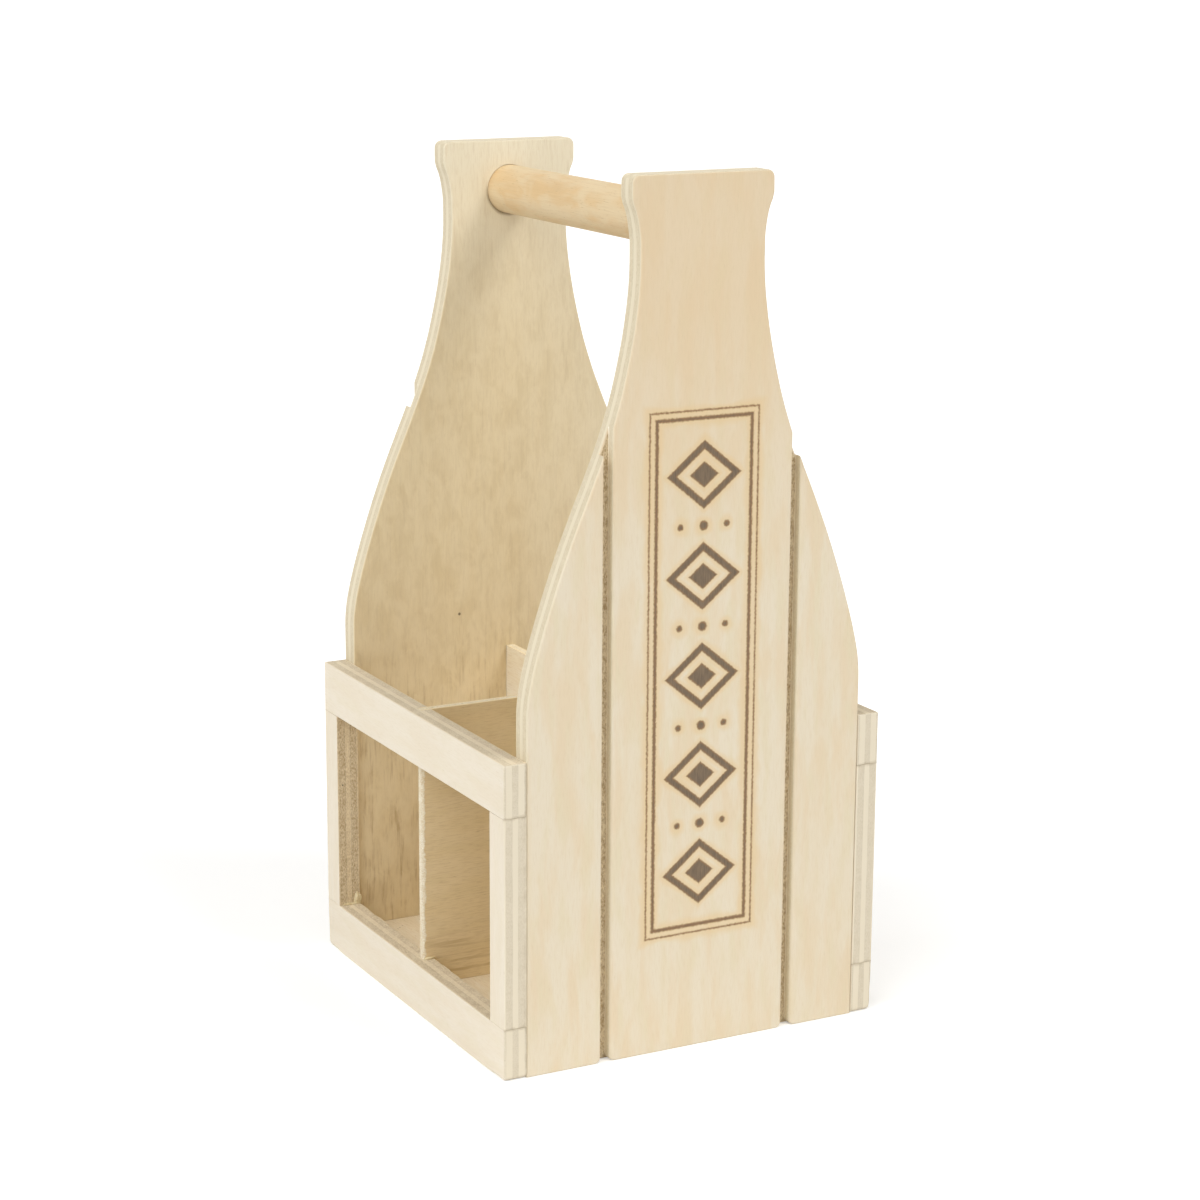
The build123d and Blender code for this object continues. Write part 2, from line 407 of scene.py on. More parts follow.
def sanded_plywood(name, thickness, core_half, cross_half, colours, dashes=0.5, pores=0.4, bands=0.6,
                   dash_size=(4.5, 0.62), inside=None, creased=None, joints=(), spots=()):
    """Rotary-cut poplar plywood, left bare. Faces and core run with the grain: pale, almost plain,
    with soft warm and yellowish clouds and short fine dashes. Cut across, a ply shows speckled
    grey-tan end grain, so the edges come out in faint stripes. Where the saw's surface was left, the
    wood is browner and the stripes are stronger.

    All lengths are in millimetres. core_half and cross_half are half the thickness of the core, and
    of the core with its two cross plies. dashes, pores and bands say how strongly those show, and
    dash_size how long and wide a dash is. inside is the warmer tone of the veneer on an end panel's
    inner side, mottled, with brown streaks low down. It is partly the veneer's own tone and partly
    painted shade, and a paler tone painted as light takes over towards the lip and one side. The
    outer side is warmer towards the neck.
    creased gives the heights between which creases along the grain fade out, and joints the heights
    of a frame's joints. spots are tiny dark knots and pin marks: a place, a radius and a colour."""
    material, tree, shader = blank(name)
    tone = {part: linear(code) for part, code in colours.items()}
    at = add(tree, "Attribute", attribute_name="board")["Vector"]
    cut = add(tree, "Attribute", attribute_name="cut")["Vector"]
    raw = add(tree, "Attribute", attribute_name="raw")["Fac"]
    along, across, depth = add(tree, "SeparateXYZ", [at])
    cut_along, cut_across, cut_face = add(tree, "SeparateXYZ", [cut])
    painted_wall_light = add(tree, "Math", [raw, -1.0], operation="MULTIPLY")[0]
    raw = add(tree, "Math", [raw, 0.0], operation="MAXIMUM")[0]

    # Which ply: distance from the middle of the sheet, with glue lines that wander 0.1 mm or so
    wander = add(tree, "TexNoise", {"Vector": at, "Scale": 1 / 9, "Detail": 2.0})[0]
    middle = add(tree, "Math", [depth, thickness / 2], operation="SUBTRACT")[0]
    middle = add(tree, "Math", [middle], operation="ABSOLUTE")[0]
    middle = add(tree, "Math", [wander, 0.5, middle], operation="MULTIPLY_ADD")[0]
    middle = add(tree, "Math", [middle, 0.25], operation="SUBTRACT")[0]
    past_core = add(tree, "MapRange", [middle, core_half - 0.22, core_half + 0.22], **smooth)[0]
    past_cross = add(tree, "MapRange", [middle, cross_half - 0.3, cross_half + 0.3, 1.0, 0.0], **smooth)[0]
    cross = add(tree, "Math", [past_core, past_cross], operation="MULTIPLY")[0]

    # Along each ply's own grain, so that the pattern turns with it
    turned = add(tree, "CombineXYZ", [across, along, depth])[0]
    is_cross = add(tree, "Math", [cross, 0.5], operation="GREATER_THAN")[0]
    grain = add(tree, "Mix", {0: is_cross, 4: at, 5: turned}, data_type="VECTOR")[1]

    # The marks in the wood, drawn out along the grain: length, width, and the noise's own settings
    marks = {
        "warm": (42, 9, {"Detail": 3.0, "Roughness": 0.55, "Distortion": 0.3}),
        "straw": (24, 5.5, {"Detail": 2.0, "Distortion": 0.3}),
        "band": (170, 7, {"Detail": 2.0}),
        "dash": (*dash_size, {"Detail": 3.0, "Roughness": 0.6}),
        "pore": (3.2, 0.7, {"Detail": 1.0}),
    }
    if inside:
        marks["mottle"] = (13, 7, {"Detail": 4.0, "Roughness": 0.65, "Distortion": 0.4})
        marks["streak"] = (17, 1.3, {"Detail": 4.0, "Roughness": 0.6})
    if creased:
        marks["crease"] = (30, 2.2, {"Detail": 3.0, "Distortion": 0.5})
        tone["crease"] = tone["dash"]
    drawn = {}
    for part, (length, width, settings) in marks.items():
        stretch = (1 / length, 1 / width, 1 / width)
        stretched = add(tree, "VectorMath", [grain, stretch], operation="MULTIPLY")[0]
        drawn[part] = add(tree, "TexNoise", {"Vector": stretched, "Scale": 1.0, **settings})[0]

    # Face and core colour: pale wood with clouds and bands over it. Each shows from one value of its
    # noise on, in full from another, and covers what lies under it up to a share
    face = tone["face"]
    for part, low, high, most in (
        ("warm", 0.4, 0.66, 1.0),
        ("straw", 0.46, 0.72, 0.7),
        ("band", 0.42, 0.74, bands),
    ):
        share = add(tree, "MapRange", [drawn[part], low, high, 0.0, most], **smooth)[0]
        face = add(tree, "Mix", {0: share, 6: face, 7: tone[part]}, **rgba)[2]
    if inside:
        # Painted light and shade on the inner veneer: darker and warmer low down, where it stands in shade,
        # and painted paler towards the lip and towards the panel's left side, where more light reaches it
        height = add(tree, "Math", [along, back_shift[0]], operation="FLOORED_MODULO")[0]
        inner = add(tree, "MapRange", [depth, thickness / 2, thickness / 2 + 0.5])[0]
        climb = add(tree, "MapRange", [height, 230.0, 330.0])[0]
        painted_shade = add(tree, "Math", [climb, climb], operation="MULTIPLY")[0]
        painted_shade = add(tree, "Math", [1.0, painted_shade], operation="SUBTRACT")[0]
        sideways = add(tree, "MapRange", [across, back_shift[1] - 60, back_shift[1], 0.5, 1.0])[0]
        painted_shade = add(tree, "Math", [painted_shade, sideways], operation="MULTIPLY")[0]
        mottle = add(tree, "MapRange", [drawn["mottle"], 0.36, 0.68], **smooth)[0]
        veneer = add(tree, "Mix", {0: mottle, 6: linear(inside), 7: tone["mottle"]}, **rgba)[2]
        veneer = add(tree, "Mix", {0: painted_shade, 6: tone["painted_lip_light"], 7: veneer}, **rgba)[2]
        mostly = add(tree, "Math", [inner, 0.85], operation="MULTIPLY")[0]
        face = add(tree, "Mix", {0: mostly, 6: face, 7: veneer}, **rgba)[2]
        streaks = add(tree, "Math", [mottle, 0.12, drawn["streak"]], operation="MULTIPLY_ADD")[0]
        streaks = add(tree, "MapRange", [streaks, 0.54, 0.86], **smooth)[0]
        low = add(tree, "MapRange", [height, 95.0, 140.0, 0.62, 0.12])[0]
        low = add(tree, "Math", [low, inner], operation="MULTIPLY")[0]
        streaks = add(tree, "Math", [streaks, low], operation="MULTIPLY")[0]
        face = add(tree, "Mix", {0: streaks, 6: face, 7: tone["streak"]}, **rgba)[2]
        dashes = add(tree, "MapRange", {0: inner, 3: dashes, 4: 1.25 * dashes})[0]
        neck = add(tree, "MapRange", [height, 190.0, 290.0, 0.0, 0.5])[0]
        neck = add(tree, "MapRange", {0: inner, 3: neck, 4: 0.0})[0]
        face = add(tree, "Mix", {0: neck, 6: face, 7: tone["neck"]}, **rgba)[2]

    # Then the finer marks: dashes, short brown pores and, low on one divider, creases
    finer = [("dash", 0.42, 0.78, dashes), ("pore", 0.67, 0.8, pores)]
    if creased:
        foot = add(tree, "MapRange", [across, *creased, 0.7, 0.0], **smooth)[0]
        finer.append(("crease", 0.5, 0.68, foot))
    for part, low, high, most in finer:
        share = add(tree, "MapRange", [drawn[part], low, high, 0.0, most], **smooth)[0]
        face = add(tree, "Mix", {0: share, 6: face, 7: tone[part]}, **rgba)[2]
    if inside:
        # Painted shade: below the handle a brown band round the rim of its socket, on its lower side,
        # stands in for the contact shade under the rod
        beside = add(tree, "Math", [across, back_shift[1]], operation="SUBTRACT")[0]
        under = add(tree, "Math", [handle_height, height], operation="SUBTRACT")[0]
        around = add(tree, "CombineXYZ", [beside, under, 0.0])[0]
        around = add(tree, "VectorMath", [around], operation="LENGTH")["Value"]
        rim = add(tree, "Math", [drawn["warm"], 1.6, around], operation="MULTIPLY_ADD")[0]
        rim = add(tree, "MapRange", [rim, socket_radius + 0.7, socket_radius + 2.4, 0.75, 0.0], **smooth)[0]
        towards = add(tree, "Math", [beside, 0.45, under], operation="MULTIPLY_ADD")[0]
        towards = add(tree, "MapRange", [towards, 2.0, 8.0])[0]
        rim = add(tree, "Math", [rim, towards], operation="MULTIPLY")[0]
        rim = add(tree, "Math", [rim, inner], operation="MULTIPLY")[0]
        face = add(tree, "Mix", {0: rim, 6: face, 7: tone["dirt_and_shade"]}, **rgba)[2]

    # On a sanded edge the long grain is a shade creamier than on the face
    on_edge = add(tree, "MapRange", [cut_face, 0.4, 0.8, 1.0, 0.0])[0]
    creamy = add(tree, "Math", [on_edge, 0.9], operation="MULTIPLY")[0]
    face = add(tree, "Mix", {0: creamy, 6: face, 7: tone["edge"]}, **rgba)[2]

    # Painted light: the groove walls are painted paler, for light that reaches down into the grooves
    if "painted_wall_light" in tone:
        face = add(tree, "Mix", {0: painted_wall_light, 6: face, 7: tone["painted_wall_light"]}, **rgba)[2]

    # A sawn surface is browner and a little furry, with darker dust between the fibres. The specks,
    # 0.2 mm or so and drawn 0.5 mm, lie in short lines along the strip, as the blade left them
    speck_at = add(tree, "VectorMath", [at, (1 / 1.1, 1 / 0.5, 1 / 0.5)], operation="MULTIPLY")[0]
    speck = add(tree, "TexNoise", {"Vector": speck_at, "Scale": 1.0, "Detail": 3.0, "Roughness": 0.7})[0]
    clump = add(tree, "TexNoise", {"Vector": at, "Scale": 1 / 3.6, "Detail": 2.0})[0]
    speckle = add(tree, "Math", [clump, 0.3, speck], operation="MULTIPLY_ADD")[0]
    speckle = add(tree, "MapRange", [speckle, 0.48, 0.84], **smooth)[0]
    dusty = add(tree, "Mix", {0: speckle, 6: tone["sawn"], 7: tone["sawn_dust"]}, **rgba)[2]
    rawest = add(tree, "Math", [raw, 0.85], operation="MULTIPLY")[0]
    face = add(tree, "Mix", {0: rawest, 6: face, 7: dusty}, **rgba)[2]

    # End grain: grey-tan, speckled by open pores and dust, with clumps a few millimetres long
    ends = add(tree, "Mix", {0: cross, 2: cut_along, 3: cut_across}, data_type="FLOAT")[0]
    ends = add(tree, "MapRange", [ends, 0.3, 0.85], **smooth)[0]
    end = add(tree, "Mix", {0: speckle, 6: tone["end"], 7: tone["end_dust"]}, **rgba)[2]
    raw_end = add(tree, "Mix", {0: speckle, 6: tone["sawn_end"], 7: tone["sawn_end_dust"]}, **rgba)[2]
    end = add(tree, "Mix", {0: raw, 6: end, 7: raw_end}, **rgba)[2]
    colour = add(tree, "Mix", {0: ends, 6: face, 7: end}, **rgba)[2]

    # Glue lines, 0.12 mm or so thick, drawn 0.3 mm so that they show, mostly on sawn edges
    to_lines = []
    for half in (core_half, cross_half):
        off = add(tree, "Math", [middle, half], operation="SUBTRACT")[0]
        to_lines.append(add(tree, "Math", [off], operation="ABSOLUTE")[0])
    nearest = add(tree, "Math", to_lines, operation="MINIMUM")[0]
    line = add(tree, "MapRange", [nearest, 0.05, 0.25, 0.5, 0.0], **smooth)[0]
    stronger = add(tree, "MapRange", {0: raw, 3: 0.3, 4: 1.0})[0]
    for factor in (on_edge, clump, stronger):
        line = add(tree, "Math", [line, factor], operation="MULTIPLY")[0]
    colour = add(tree, "Mix", {0: line, 6: colour, 7: tone["glue"]}, **rgba)[2]

    # Dirt and glue rubbed into the joints on the ends of the frames, at the heights in joints and,
    # on the left, along the panel
    if joints:
        standing = add(tree, "Attribute", attribute_name="caddy")["Vector"]
        x, y, z = add(tree, "SeparateXYZ", [standing])
        to_joint = add(tree, "Math", [x, panel_half], operation="ADD")[0]
        to_joint = add(tree, "Math", [to_joint], operation="ABSOLUTE")[0]
        for joint in joints:
            beside = add(tree, "Math", [z, joint], operation="SUBTRACT")[0]
            beside = add(tree, "Math", [beside], operation="ABSOLUTE")[0]
            to_joint = add(tree, "Math", [to_joint, beside], operation="MINIMUM")[0]
        to_joint = add(tree, "Math", [clump, -2.6, to_joint], operation="MULTIPLY_ADD")[0]
        dirt_and_shade = add(tree, "MapRange", [to_joint, -1.5, 0.0, 0.32, 0.0], **smooth)[0]
        at_end = add(tree, "Math", [y], operation="ABSOLUTE")[0]
        at_end = add(tree, "MapRange", [at_end, outer_face - 1.2, outer_face - 0.4])[0]
        dirt_and_shade = add(tree, "Math", [dirt_and_shade, at_end], operation="MULTIPLY")[0]
        colour = add(tree, "Mix", {0: dirt_and_shade, 6: colour, 7: tone["dirt_and_shade"]}, **rgba)[2]

    # Pin knots and specks
    for place, radius, code in spots:
        away = add(tree, "VectorMath", [at, place], operation="DISTANCE")["Value"]
        away = add(tree, "Math", [speck, radius, away], operation="MULTIPLY_ADD")[0]
        dark = add(tree, "MapRange", [away, 0.9 * radius, 1.6 * radius, 0.9, 0.0], **smooth)[0]
        colour = add(tree, "Mix", {0: dark, 6: colour, 7: linear(code)}, **rgba)[2]

    # Bare wood is matt, and rougher where end grain is open or the saw's surface was left. The
    # relief is 0.03 mm deep on a face, 0.08 mm on end grain, and up to 0.16 mm more where sawn
    open_grain = add(tree, "Math", [ends, raw], operation="MAXIMUM")[0]
    rough = add(tree, "MapRange", {0: open_grain, 3: 0.6, 4: 0.85})[0]
    rough = add(tree, "Math", [drawn["dash"], 0.12, rough], operation="MULTIPLY_ADD")[0]
    relief = add(tree, "Mix", {0: open_grain, 2: drawn["dash"], 3: speck}, data_type="FLOAT")[0]
    height = add(tree, "MapRange", {0: ends, 3: 0.00003, 4: 0.00008})[0]
    height = add(tree, "Math", [raw, 0.00016, height], operation="MULTIPLY_ADD")[0]
    relief = add(tree, "Math", [relief, height], operation="MULTIPLY")[0]
    surface(tree, shader, colour, rough, 1.5, relief, 0.9)
    return material


five_ply = {"thickness": board, "core_half": 1.2, "cross_half": 3.95}
panel_wood = sanded_plywood(
    "poplar_plywood_sanded_upright",
    **five_ply,
    colours={
        # The darkest brown tone paints shade under the rod, round its socket
        # The near-white tone paints light on the groove walls
        # The pale tone for the inner veneer near the lip is painted light, and the inner tone is partly
        # painted shade
        "face": "#E3D7C0", "warm": "#E1CFB1", "straw": "#DFD2B3", "band": "#E0CFB1", "dash": "#D1BC96",
        "pore": "#B59A70", "mottle": "#DFCA9F", "painted_lip_light": "#F1E7CD", "streak": "#A98858",
        "neck": "#DDC197", "edge": "#E7DCC2", "painted_wall_light": "#FCF3E0", "sawn": "#EAD9B6",
        "sawn_dust": "#A3865B", "end": "#E1D5BA", "end_dust": "#D5C7A9", "sawn_end": "#DECFAE",
        "sawn_end_dust": "#A88D62", "glue": "#8A7350", "dirt_and_shade": "#7E6642",
    },
    dashes=0.24, pores=0.1, bands=0.4, inside="#E8D5AD",
    # The back panel's one dark pin knot, and specks on the edges of the necks
    spots=(
        ((back_shift[0] + 141.2, back_shift[1] + 24.1, board), 0.8, "#5E4B32"),
        ((back_shift[0] + 295.3, back_shift[1] + 26.4, 0.4), 0.4, "#A08A66"),
        ((292.4, -26.2, 9.3), 0.5, "#A8926C"),
    ),
)

front_place = placed((1, 0, 0, 0), (0, 0, 1, -outer_face), (0, 1, 0, 0))
back_place = Matrix.Rotation(math.pi, 4, "Z") @ front_place


def panel_cuts():
    """What an end panel is cut with: a bit for the rod's socket and a box for the divider."""
    bit = drill((0, handle_height), socket_radius, board - socket_depth, board + cut_past)
    return [bit, housing(floor_top, side_height)]


# Burnt ornament
# A plain pattern pressed into the middle plank with a hot iron: lozenges and dots in a column
# between thin double lines. The iron leaves dark brown, uneven char and an amber scorch round it.
scorched_wood = panel_wood.copy()
scorched_wood.name = "poplar_plywood_branded_with_hot_iron"
tree = scorched_wood.node_tree
shader = tree.nodes["Principled BSDF"]
bare = shader.inputs["Base Color"].links[0].from_socket
ornament_low, ornament_rows, ornament_pitch = 52.0, 5, 39.0
ornament_half = ornament_rows * ornament_pitch / 2
ornament_middle = (groove_walls[1] + groove_walls[2]) / 2
ring_middle, ring_half_line, heart_half = 11.4, 1.9, 5.2
dot_radius, side_dot_out, side_dot_radius = 2.0, 10.0, 1.4
frame_over = 18.4
at = add(tree, "Attribute", attribute_name="board")["Vector"]
up, out, depth = add(tree, "SeparateXYZ", [at])
out = add(tree, "Math", [out, ornament_middle], operation="SUBTRACT")[0]
out = add(tree, "Math", [out], operation="ABSOLUTE")[0]
up = add(tree, "Math", [up, ornament_low], operation="SUBTRACT")[0]
row = add(tree, "Math", [up, ornament_pitch], operation="FLOORED_MODULO")[0]
row = add(tree, "Math", [row, ornament_pitch / 2], operation="SUBTRACT")[0]
row = add(tree, "Math", [row], operation="ABSOLUTE")[0]
far_up = add(tree, "Math", [up, ornament_half], operation="SUBTRACT")[0]
far_up = add(tree, "Math", [far_up], operation="ABSOLUTE")[0]
# Distances in millimetres to each form's edge, below zero inside it
lozenge = add(tree, "Math", [out, 0.82, row], operation="MULTIPLY_ADD")[0]
ring = add(tree, "Math", [lozenge, ring_middle], operation="SUBTRACT")[0]
ring = add(tree, "Math", [ring], operation="ABSOLUTE")[0]
ring = add(tree, "Math", [ring, ring_half_line], operation="SUBTRACT")[0]
heart = add(tree, "Math", [lozenge, heart_half], operation="SUBTRACT")[0]
between = add(tree, "Math", [ornament_pitch / 2, row], operation="SUBTRACT")[0]
beside = add(tree, "Math", [out, side_dot_out], operation="SUBTRACT")[0]
dots = []
for off, radius in ((out, dot_radius), (beside, side_dot_radius)):
    away = add(tree, "CombineXYZ", [off, between, 0.0])[0]
    away = add(tree, "VectorMath", [away], operation="LENGTH")["Value"]
    dots.append(add(tree, "Math", [away, radius], operation="SUBTRACT")[0])
form = add(tree, "Math", dots, operation="MINIMUM")[0]
past_rows = add(tree, "Math", [far_up, ornament_half - 8.0], operation="SUBTRACT")[0]
form = add(tree, "Math", [form, past_rows], operation="MAXIMUM")[0]
inside = add(tree, "Math", [far_up, ornament_half], operation="SUBTRACT")[0]
for shape in (ring, heart):
    shape = add(tree, "Math", [shape, inside], operation="MAXIMUM")[0]
    form = add(tree, "Math", [form, shape], operation="MINIMUM")[0]
# Two plain frames round the column, the outer one thin
for half_width, half_line in ((20.4, 0.85), (23.4, 0.45)):
    beside = add(tree, "Math", [out, half_width], operation="SUBTRACT")[0]
    above = add(tree, "Math", [far_up, ornament_half + half_width - frame_over], operation="SUBTRACT")[0]
    frame_line = add(tree, "Math", [beside, above], operation="MAXIMUM")[0]
    frame_line = add(tree, "Math", [frame_line], operation="ABSOLUTE")[0]
    frame_line = add(tree, "Math", [frame_line, half_line], operation="SUBTRACT")[0]
    form = add(tree, "Math", [form, frame_line], operation="MINIMUM")[0]
# The iron touches the outer face only
below = add(tree, "Math", [depth, 40.0], operation="MULTIPLY")[0]
form = add(tree, "Math", [form, below], operation="ADD")[0]
ragged = add(tree, "TexNoise", {"Vector": at, "Scale": 1 / 1.1, "Detail": 3.0})[0]
edge = add(tree, "Math", [ragged, 1.0, form], operation="MULTIPLY_ADD")[0]
burn = add(tree, "MapRange", [edge, 0.0, 0.8, 1.0, 0.0], **smooth)[0]
# The rim of each mark is browner than its middle, and an amber scorch spreads 1 to 5 mm round it
rim = add(tree, "MapRange", [edge, -0.7, 0.3], **smooth)[0]
drift = add(tree, "TexNoise", {"Vector": at, "Scale": 1 / 13.0, "Detail": 3.0})[0]
reach = add(tree, "MapRange", [drift, 0.3, 0.72, 1.2, 5.5])[0]
scorch = add(tree, "Math", [form, reach], operation="DIVIDE")[0]
scorch = add(tree, "MapRange", {0: scorch, 3: 0.55, 4: 0.0}, **smooth)[0]
char_at = add(tree, "VectorMath", [at, (1 / 5, 1 / 0.6, 1.0)], operation="MULTIPLY")[0]
char = add(tree, "TexNoise", {"Vector": char_at, "Scale": 1.0, "Detail": 3.0})[0]
char = add(tree, "MapRange", [char, 0.3, 0.75])[0]
tanned = add(tree, "Mix", {0: scorch, 6: bare, 7: linear("#DFC18D")}, **rgba)[2]
charred = add(tree, "Mix", {0: char, 6: linear("#57483A"), 7: linear("#7A654E")}, **rgba)[2]
charred = add(tree, "Mix", {0: rim, 6: charred, 7: linear("#8A6742")}, **rgba)[2]
marked = add(tree, "Math", [burn, 0.95], operation="MULTIPLY")[0]
colour = add(tree, "Mix", {0: marked, 6: tanned, 7: charred}, **rgba)[2]
tree.links.new(colour, shader.inputs["Base Color"])


def panel_raw(middle, normal):
    """Only the grooves are left as the cutter left them: their floors dusty and dark, partly real
    dust and partly painted shade deep in the groove, and their walls painted paler as painted light.
    """
    grooves = (groove_walls[:2], groove_walls[2:])
    in_groove = any(low - 0.01 < middle.x < high + 0.01 for low, high in grooves)
    if not in_groove or not 0.1 < middle.z < groove_depth + 0.01:
        return 0.0
    # A groove's floor is sawn and dusty, and its darkness also paints the shade deep in the groove
    if abs(normal.z) > 0.5 and middle.z > groove_depth - 0.3:
        return 1.0
    # The walls get painted light, more of it deeper than 1.6 mm
    return -0.9 if middle.z > 1.6 else -0.5


make_board("front_panel_board", end_panel_mesh(), front_place, "front_panel",
           scorched_wood, "v", panel_cuts(), raw=panel_raw)
make_board("back_panel_board", end_panel_mesh(), back_place, "back_panel",
           panel_wood, "v", panel_cuts(), shift=back_shift, raw=panel_raw)


# Handle
# A 20 mm round rod of beech, turned and sanded, its two ends glued into blind sockets in the end
# panels. Its rings are cut at a slant, so warm streaks and flecks run along it.
handle_radius, handle_length = 10.0, 161.4


def turned_beech(name):
    """Turned and sanded beech: warm straw with orange-tan growth rings seen as long soft streaks, and
    the short fine flecks that beech has."""
    material, tree, shader = blank(name)
    at = add(tree, "Attribute", attribute_name="board")["Vector"]
    # The marks in the wood: their size along the rod, across and up in millimetres
    drawn = {}
    for part, size, settings in (
        ("patch", (22, 9, 9), {"Detail": 3.0, "Distortion": 0.5}),
        ("ring", (60, 5, 7), {"Detail": 3.0, "Distortion": 0.7}),
        ("fibre", (12, 0.45, 0.45), {"Detail": 3.0, "Roughness": 0.6}),
        ("fleck", (3, 0.4, 0.4), {"Detail": 1.0}),
    ):
        stretched = add(tree, "VectorMath", [at, [1 / s for s in size]], operation="MULTIPLY")[0]
        drawn[part] = add(tree, "TexNoise", {"Vector": stretched, "Scale": 1.0, **settings})[0]
    # Each shows from one value of its noise on, in full from another, and covers up to a share
    colour = linear("#E0CAA3")
    for part, low, high, most, code in (
        ("patch", 0.4, 0.68, 1.0, "#DCBC8B"),
        ("ring", 0.45, 0.8, 0.6, "#CFAE7F"),
        ("fibre", 0.4, 0.8, 0.35, "#C8AC82"),
        ("fleck", 0.66, 0.76, 0.4, "#AD8E62"),
    ):
        share = add(tree, "MapRange", [drawn[part], low, high, 0.0, most], **smooth)[0]
        colour = add(tree, "Mix", {0: share, 6: colour, 7: linear(code)}, **rgba)[2]
    rough = add(tree, "MapRange", {0: drawn["fibre"], 3: 0.55, 4: 0.7})[0]
    height = add(tree, "Math", [drawn["fibre"], 0.00003], operation="MULTIPLY")[0]
    surface(tree, shader, colour, rough, 1.5, height, 0.8)
    return material


def rod_mesh():
    """The rod lying along u, chamfered at both ends and very slightly out of true."""
    bm = bmesh.new()
    half, chamfer, around = handle_length / 2, 0.8, 72
    stations = [(-half, handle_radius - chamfer), (-half + chamfer, handle_radius)]
    stations += [(u, handle_radius) for u in np.linspace(-half + 5, half - 5, 36)]
    stations += [(half - chamfer, handle_radius), (half, handle_radius - chamfer)]
    rings = []
    for u, radius in stations:
        ring = []
        for i in range(around):
            turn = 2 * math.pi * i / around
            rub = 0.02 * (1 + noise.noise(Vector((u / 25, 1.5 * math.cos(turn), 1.5 * math.sin(turn)))))
            out = radius - rub
            ring.append(bm.verts.new((u, out * math.cos(turn), out * math.sin(turn))))
        rings.append(ring)
    for near, far in zip(rings, rings[1:]):
        for i in range(around):
            j = (i + 1) % around
            bm.faces.new((near[i], near[j], far[j], far[i]))
    bm.faces.new(rings[0])
    bm.faces.new(rings[-1][::-1])
    bmesh.ops.recalc_face_normals(bm, faces=bm.faces)
    return bm


handle_place = placed((0, 1, 0, 0), (1, 0, 0, 0), (0, 0, 1, handle_height))
make_board("handle_rod", rod_mesh(), handle_place, "handle_dowel",
           turned_beech("beech_turned_and_sanded"), "u", wear=0.0)


# Side frames
# On each side two rails run the whole length, with a short stile between them at each end, all cut
# from the same board, glued and sanded flush. The grain runs along each strip, so rail ends and
# stile edges show their plies in opposite stripes.
rail_height, stile_width, foot_corner = 20.8, 12.5, 2.0
window_low, window_high = rail_height, side_height - rail_height
frame_ease, worn_foot_ease, worn_corner_ease, worn_reach = 0.7, 1.9, 1.5, 4
slack = 0.2

frame_wood = sanded_plywood(
    "poplar_plywood_sanded_strips",
    **five_ply,
    colours={
        "face": "#EDE3D1", "warm": "#EADEC9", "straw": "#E9DEC7", "band": "#E8DCC5", "dash": "#DBCDB2",
        "pore": "#C4AF8B", "edge": "#E3D8C1", "sawn": "#EFDEBB", "sawn_dust": "#CBB48E",
        "end": "#DCD1BC", "end_dust": "#D2C6AE", "sawn_end": "#E5D5B5", "sawn_end_dust": "#B49B74",
        "glue": "#8A7350", "dirt_and_shade": "#8D7752",
    },
    dashes=0.28, pores=0.2, bands=0.4, joints=(window_low, window_high),
    # Three dark specks, at their places in the wood's pattern
    spots=(
        ((686.9, 266.0, 2.4), 0.4, "#2E2A24"),
        ((453.1, -50.0, 1.9), 0.4, "#5C5040"),
        ((1144.2, -50.0, 2.6), 0.35, "#8F7A55"),
    ),
)


def strip(u_low, u_high, v_low, v_high, foot=0.0, step=plank_step):
    """The outline of a strip of board, with its lower corners rounded if it stands on the floor and
    points one step apart along its upper edge."""
    if foot:
        lower = corner((u_low + foot, v_low + foot), foot, 180, 270)
        lower += corner((u_high - foot, v_low + foot), foot, 270, 360)
        path = [(u_low, v_high)] + lower + [(u_high, v_high)]
    else:
        path = [(u_low, v_high), (u_low, v_low), (u_high, v_low), (u_high, v_high)]
    outline = []
    for p, q in zip(path, path[1:] + path[:1]):
        outline += spaced([p, q], step if p[1] == q[1] == v_high else plank_step)[:-1]
    return outline


def rail_ease(p, window):
    """How round a rail's edges are: soft outside, most at the lower corners, crisp at the window and
    underneath, almost sharp at a joint."""
    at_window = abs(p.y - window) < slack
    beside_panel = abs(p.x) > outer_face - board + slack and p.z > board - slack
    if beside_panel or (at_window and abs(p.x) > outer_face - stile_width + slack):
        return joint_ease
    if window == window_low:
        near_corner = abs(p.x) > outer_face - foot_corner - worn_reach
        if near_corner and p.y < foot_corner + worn_reach:
            return worn_foot_ease if p.y < foot_corner else worn_corner_ease
        if p.y < foot_corner:
            return crisp_ease
    return crisp_ease if at_window else frame_ease


def stile_ease(p):
    """The same for a stile: its ends and its inner edge on the panel are joints."""
    beside_panel = abs(p.x) > outer_face - board + slack and p.z > board - slack
    if beside_panel or not window_low + slack < p.y < window_high - slack:
        return joint_ease
    return crisp_ease if abs(p.x) < outer_face - slack else frame_ease


def ragged_rim(bm):
    """Pulls in the bottom rail's upper inner arris up to a millimetre, where its veneer tore."""
    for v in bm.verts:
        u, up, depth = v.co
        if depth > board - 0.5 and up > window_low - 0.5 and abs(u) < outer_face - stile_width:
            torn = noise.noise(Vector((u / 2.2, 4, 0))) + 0.8 * noise.noise(Vector((u / 9, 7, 0)))
            v.co.z -= max(0.0, 0.25 + 0.7 * torn)


def top_raw(middle, normal):
    """A top rail is raw where the window was sawn, and only half sanded on top."""
    return 1.0 if normal.y < -0.8 else 0.4 if normal.y > 0.8 else 0.0


def bottom_raw(middle, normal):
    """A bottom rail is half sanded at the window."""
    return 0.5 if normal.y > 0.8 else 0.0


def stile_raw(middle, normal):
    """A stile is raw at the window."""
    return 1.0 if abs(normal.x) > 0.8 and abs(middle.x) < outer_face - 1 else 0.0


